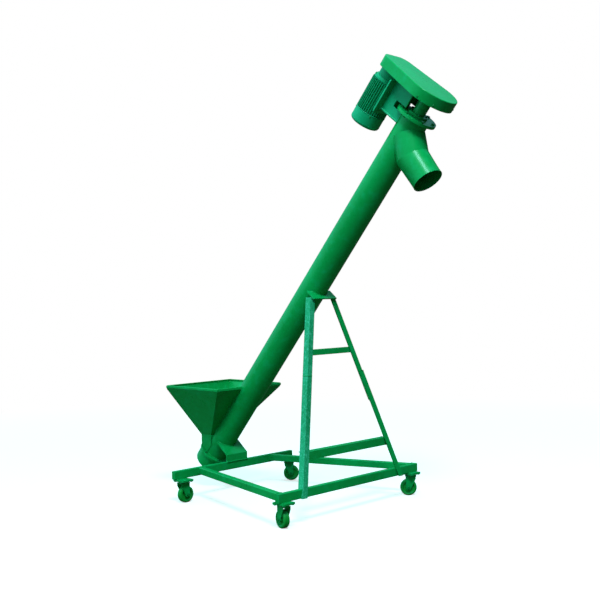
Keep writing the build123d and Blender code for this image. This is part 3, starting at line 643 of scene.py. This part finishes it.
# Rolled beads: (distance along the tube, sink into the sheet, radius).
bm = bmesh.new()
for bead_u, sink, bead_r in ((cowl_high - 0.0006, 0.0, 0.0016), (cowl_low + 0.018, 0.0002, 0.0011)):
    seam = [place for place, _ in around(bead_u, MOTOR_N, cowl_r - sink, 72, 0)]
    sweep(bm, seam, [bead_r] * len(seam), True)
add_piece("cowl_beads", bm, "frame", "motor_green")

SHIELD_BOLT_CIRCLE = 0.077
SHIELD_FLANGE = 0.010       # thickness of the end shield's outer edge
frame_end = span("motor_frame", along)[1]
bm = bmesh.new()
for place, _ in around(frame_end + SHIELD_FLANGE, MOTOR_N, SHIELD_BOLT_CIRCLE, 4, 45):
    hex_head(bm, place, TUBE_DIR, 0.0058, 0.0055)
add_piece("end_shield_bolts", bm, "frame", "painted_bolt")

# Terminal box: a lid with a rounded edge and four screws.
LID_INSET = 0.003
LID_CORNER = 0.008
LID_SCREW_INSET = 0.013
box_u = span("motor_terminal_box", along)
box_n = span("motor_terminal_box", above)
lid_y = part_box("motor_terminal_box")[1].y - 0.0002
bm = bmesh.new()
rows = []
# Rows of the lid's edge: (height above the box, further inset).
for rise, shrink in ((-0.004, 0.0), (-0.0005, 0.0), (0.0035, 0.0005), (0.005, 0.003)):
    inset = LID_INSET + shrink
    low_u, high_u = box_u[0] + inset, box_u[1] - inset
    low_n, high_n = box_n[0] + inset, box_n[1] - inset
    outline = ((low_u, low_n), (high_u, low_n), (high_u, high_n), (low_u, high_n))
    corners = [on_tube(u, n, lid_y + rise) for u, n in outline]
    rows.append([bm.verts.new(point) for point in round_corners(corners, LID_CORNER)])
for low_row, high_row in zip(rows, rows[1:]):
    join_rings(bm, low_row, high_row)
bm.faces.new(rows[0])
bm.faces.new(rows[-1])
add_piece("terminal_box_lid", bm, "frame", "motor_green", smooth=False)
bm = bmesh.new()
for u in (box_u[0] + LID_SCREW_INSET, box_u[1] - LID_SCREW_INSET):
    for n in (box_n[0] + LID_SCREW_INSET, box_n[1] - LID_SCREW_INSET):
        pan_head(bm, on_tube(u, n, lid_y + 0.0048), SIDEWAYS, 0.0042)
add_piece("terminal_box_screws", bm, "frame", "painted_bolt")

# Belt guard: fixing screws round the skirt of its lower end.
guard_low = span("belt_guard", along)[0]
guard_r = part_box("belt_guard")[1].y
bm = bmesh.new()
for place, out in around(guard_low + 0.012, 0, guard_r - HEAD_SINK, count=5, start=104, arc=190):
    pan_head(bm, place, out, 0.0052)
add_piece("guard_screws", bm, "frame", "painted_bolt")

# Upper bearing: a grease nipple and the fixing bolts of its flange.
BARREL_R = 0.036
BEARING_FLANGE = 0.013
BEARING_BOLT_CIRCLE = 0.0465
bearing_low, bearing_high = span("upper_bearing", along)
bm = bmesh.new()
place = on_tube((bearing_low + bearing_high) / 2 + 0.012, BARREL_R - 0.001)
lathe(
    bm, place, TUBE_UP,
    (
        (0, 0.0050), (0.004, 0.0050), (0.0045, 0.0032), (0.009, 0.0030),
        (0.010, 0.0038), (0.0125, 0.0036), (0.014, 0.0016),
    ),
    12,
)
add_piece("grease_nipple", bm, "frame", "bare_steel")
bm = bmesh.new()
for place, _ in around(bearing_low + BEARING_FLANGE, 0, BEARING_BOLT_CIRCLE, 4, 45):
    hex_head(bm, place, TUBE_DIR, 0.0065, 0.006)
add_piece("bearing_bolts", bm, "frame", "painted_bolt")

# Spout: a rolled lip round the mouth.
LIP_SINK = 0.0012           # of the lip's axis inside the collar's outer face
LIP_BACK = 0.0014           # and behind the collar's end
SPOUT_LIP_R = 0.0021
MOUTH = Vector(MOUNTS["spout_collar"]["pos_m"])
MOUTH_DIR = Vector(MOUNTS["spout_collar"]["axis"]).normalized()
COLLAR = MOUNTS["spout_collar"]["dims"]
collar_r = COLLAR["r_mm"] / 1000
collar_end = MOUTH + MOUTH_DIR * COLLAR["length_mm"] / 2000
mouth_side = MOUTH_DIR.cross(SIDEWAYS).normalized()
ring = circle(collar_end - MOUTH_DIR * LIP_BACK, SIDEWAYS, mouth_side, collar_r - LIP_SINK, 96)
bm = bmesh.new()
sweep(bm, ring, [SPOUT_LIP_R] * len(ring), True)
add_piece("spout_lip", bm, "frame", "frame_green")

# ---------------------------------------------------------------- casters
RACE_R, RACE_THICK = 0.0235, 0.0022
# Raised rings on each side of a wheel: (radius, distance from its middle, thickness).
WHEEL_RINGS = ((0.0405, 0.0176, 0.0009), (0.0350, 0.0100, 0.0014), (0.0180, 0.0092, 0.0014))
for spot in SPOTS:
    spin = JOINTS["caster_" + spot + "_spin"]
    pin = Vector(JOINTS["caster_" + spot + "_swivel"]["pos_m"])
    hub = Vector(spin["pos_m"])
    axle = Vector(spin["axis"]).normalized()
    fork_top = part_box("caster_" + spot + "_fork")[1].z
    bm = bmesh.new()
    race = circle(Vector((pin.x, pin.y, fork_top + 0.0005)), Vector((1, 0, 0)), SIDEWAYS, RACE_R, 48)
    sweep(bm, race, [RACE_THICK] * len(race), True)
    add_piece("caster_" + spot + "_race", bm, "swivel_" + spot, "bare_steel")
    bm = bmesh.new()
    side = axle.cross(UPWARD).normalized()
    for sign in (-1, 1):
        for radius, depth, thick in WHEEL_RINGS:
            ring = circle(hub + axle * sign * depth, side, UPWARD, radius, 60)
            sweep(bm, ring, [thick] * len(ring), True, 6)
    add_piece("caster_" + spot + "_rings", bm, "wheel_" + spot, "wheel_green")


# ---------------------------------------------------------------- floor, light, camera
def stage_floor():
    """Pale floor that fades to the white surroundings away from the object."""
    g = Graph("floor_paint")
    where = g.add("NewGeometry").outputs["Position"]
    mottled = g.noise(where, 7.0, 4)
    color = g.mix(g.ramp(mottled, 0.3, 0.7), rgb(0.90, 0.74, 0.75), rgb(0.94, 0.78, 0.78))
    bump = g.add("Bump", Strength=0.05, Distance=0.002, Height=g.noise(where, 160.0, 3))
    seen = g.add("LightPath").outputs["Is Camera Ray"]
    color = g.mix(seen, rgb(0.09, 0.13, 0.06), color)
    matte = g.add("BsdfPrincipled", Base_Color=color, Roughness=0.85, Normal=bump.outputs["Normal"])
    matte.inputs["Specular IOR Level"].default_value = 0.1
    matte.inputs["Emission Color"].default_value = rgb(1, 0.86, 0.88)
    g.feed(matte.inputs["Emission Strength"], g.math("MULTIPLY", seen, 0.62))
    glow = g.add("Emission", Color=rgb(1, 1, 1))
    g.feed(glow.inputs["Strength"], g.ramp(seen, 0.0, 1.0, 0.05, 1.0))
    reach = g.add("VectorMath", {"operation": "LENGTH"})
    g.feed(reach.inputs[0], where)
    fade = g.ramp(reach.outputs["Value"], 1.6, 6.0)
    mixed = g.add("MixShader", Fac=fade)
    g.tree.links.new(matte.outputs[0], mixed.inputs[1])
    g.tree.links.new(glow.outputs[0], mixed.inputs[2])
    g.tree.links.new(mixed.outputs[0], g.out.inputs["Surface"])
    mesh = bpy.data.meshes.new("floor")
    half = 60.0
    corners = [(-half, -half, 0), (half, -half, 0), (half, half, 0), (-half, half, 0)]
    mesh.from_pydata(corners, [], [(0, 1, 2, 3)])
    mesh.materials.append(g.material)
    floor = bpy.data.objects.new("floor", mesh)
    bpy.context.scene.collection.objects.link(floor)


BRIGHT_SIDE = Vector((-0.50, -0.55, 0.67))     # direction in which the sky is brightest


def surroundings():
    """White backdrop, with a soft sky-like gradient as the light it gives."""
    world = bpy.data.worlds.new("studio")
    bpy.context.scene.world = world
    world.use_nodes = True
    tree = world.node_tree
    tree.nodes.clear()
    out = tree.nodes.new("ShaderNodeOutputWorld")
    where = tree.nodes.new("ShaderNodeTexCoord")
    facing = tree.nodes.new("ShaderNodeVectorMath")
    facing.operation = "DOT_PRODUCT"
    tree.links.new(where.outputs["Generated"], facing.inputs[0])
    facing.inputs[1].default_value = BRIGHT_SIDE
    ramp = tree.nodes.new("ShaderNodeValToRGB")
    tree.links.new(facing.outputs["Value"], ramp.inputs["Fac"])
    ramp.color_ramp.elements[0].position = 0.0
    ramp.color_ramp.elements[0].color = (0.01, 0.06, 0.025, 1)
    ramp.color_ramp.elements[1].position = 0.9
    ramp.color_ramp.elements[1].color = (0.20, 0.88, 0.90, 1)
    light = tree.nodes.new("ShaderNodeBackground")
    light.inputs["Strength"].default_value = 1.6
    tree.links.new(ramp.outputs["Color"], light.inputs["Color"])
    seen = tree.nodes.new("ShaderNodeBackground")
    seen.inputs["Color"].default_value = (1, 1, 1, 1)
    path = tree.nodes.new("ShaderNodeLightPath")
    mixed = tree.nodes.new("ShaderNodeMixShader")
    tree.links.new(path.outputs["Is Camera Ray"], mixed.inputs["Fac"])
    tree.links.new(light.outputs[0], mixed.inputs[1])
    tree.links.new(seen.outputs[0], mixed.inputs[2])
    tree.links.new(mixed.outputs[0], out.inputs["Surface"])


def softbox(name, place, target, size, power, color):
    """Rectangular area light aimed at a point."""
    lamp = bpy.data.lights.new(name, "AREA")
    lamp.shape = "RECTANGLE"
    lamp.size, lamp.size_y = size
    lamp.energy = power
    lamp.color = color
    lamp_object = bpy.data.objects.new(name, lamp)
    lamp_object.location = place
    facing = (Vector(target) - Vector(place)).to_track_quat("-Z", "Y")
    lamp_object.rotation_euler = facing.to_euler()
    bpy.context.scene.collection.objects.link(lamp_object)


stage_floor()
surroundings()
MIDDLE = Vector((0, 0, 1.2))
softbox("sky", (-0.9, 3.8, 5.9), MIDDLE, (5.0, 3.6), 30, (0.30, 0.88, 1.0))
softbox("key", (4.2, -3.6, 8.2), MIDDLE, (2.2, 2.2), 680, (0.50, 0.97, 1.0))

CAMERA_PLACE = Vector((3.9371, -4.3403, 1.2422))
FOCAL_LENGTH = 59.695
YAW, PITCH, ROLL = (math.radians(angle) for angle in (42.8582, 0.377, -0.9068))
back = Vector((math.sin(YAW) * math.cos(PITCH), -math.cos(YAW) * math.cos(PITCH), math.sin(PITCH)))
level_right = (-back).cross(UPWARD).normalized()
level_up = level_right.cross(-back)
right = level_right * math.cos(ROLL) + level_up * math.sin(ROLL)
up = -level_right * math.sin(ROLL) + level_up * math.cos(ROLL)
lens = bpy.data.cameras.new("camera")
lens.sensor_width = 36.0
lens.lens = FOCAL_LENGTH
camera = bpy.data.objects.new("camera", lens)
camera.matrix_world = Matrix.Translation(CAMERA_PLACE) @ Matrix((right, up, back)).transposed().to_4x4()
bpy.context.scene.collection.objects.link(camera)
bpy.context.scene.camera = camera
bpy.context.scene.view_settings.view_transform = "Standard"
